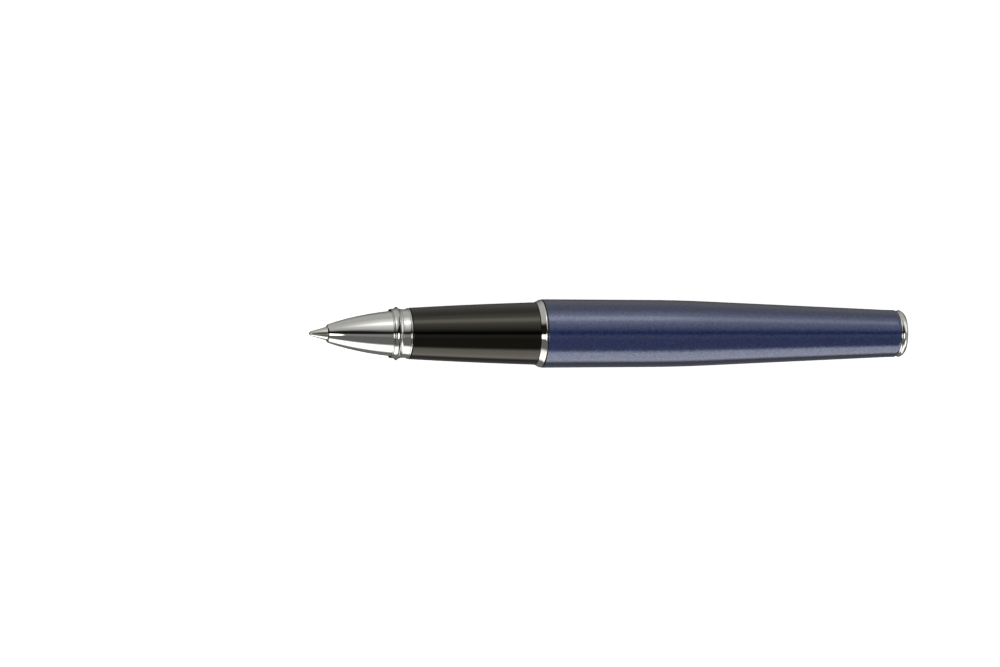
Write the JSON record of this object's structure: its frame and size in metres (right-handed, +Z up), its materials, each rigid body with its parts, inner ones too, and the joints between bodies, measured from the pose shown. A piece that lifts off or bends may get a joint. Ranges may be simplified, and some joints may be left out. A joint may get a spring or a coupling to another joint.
{
  "type": "rollerball pen",
  "caption": "Uncapped metal rollerball pen: chrome nose cone and rings, tapered black grip, screw-on tapered barrel over a sprung refill with a rolling ball.",
  "frame": {"origin": "centre of the flat face of the end disc at the tail, on the pen's axis", "axes": "+X along the pen's axis from the writing tip to the tail, so the pen lies between x = -0.1247 and x = 0; +Z up when it lies level; +Y completes the right-handed set"},
  "size_m": [0.1247, 0.014, 0.014],
  "materials": {
    "chrome_trim": "polished chrome plate with fine handling scratches",
    "black_lacquer": "deep gloss black lacquer on brass",
    "blue_lacquer": "navy lacquer with fine metal flake under clear coat",
    "brass": "turned brass",
    "point_steel": "finely turned stainless steel",
    "ball_carbide": "polished hard metal",
    "spring_steel": "drawn spring wire",
    "black_plastic": "moulded, satin",
    "grey_plastic": "extruded, satin",
    "white_plastic": "moulded, semi-gloss",
    "inked_fibre": "bonded fibre soaked in ink"
  },
  "bodies": {
    "grip_section": {"nose_cone": "chrome_trim", "nose_ring": "chrome_trim", "grip_collar": "chrome_trim", "grip_sleeve": "black_lacquer", "section_core": "brass"},
    "refill": {"refill_point": "point_steel", "refill_nose": "black_plastic", "refill_tube": "grey_plastic", "ink_reservoir": "inked_fibre", "feed_wick": "inked_fibre", "refill_end_plug": "white_plastic"},
    "ball": {"writing_ball": "ball_carbide"},
    "spring": {"refill_spring": "spring_steel"},
    "barrel": {"centre_ring": "chrome_trim", "thread_bush": "brass", "barrel_tube": "blue_lacquer", "refill_guide": "black_plastic", "tail_plug": "black_plastic", "tail_ring": "chrome_trim", "tail_cap": "chrome_trim"}
  },
  "joints": [
    {"name": "refill_push", "type": "slide", "parent": "grip_section", "child": "refill", "axis": [1, 0, 0], "range_m": [0, 0.0015], "stiffness_N_per_m": 500, "springref_m": -0.002, "deforming": ["refill_spring"]},
    {"name": "ball_roll", "type": "hinge", "parent": "refill", "child": "ball", "pos_m": [-0.12435, 0, 0], "axis": [0, 1, 0], "continuous": true},
    {"name": "barrel_travel", "type": "slide", "parent": "grip_section", "child": "spring", "axis": [1, 0, 0], "range_m": [0, 0.006]},
    {"name": "barrel_unscrew", "type": "hinge", "parent": "spring", "child": "barrel", "pos_m": [0, 0, 0], "axis": [1, 0, 0], "range_deg": [0, 2160]}
  ],
  "couplings": [
    {"joint": "barrel_unscrew", "follows": "barrel_travel", "rad_per_m": 6283.2}
  ]
}
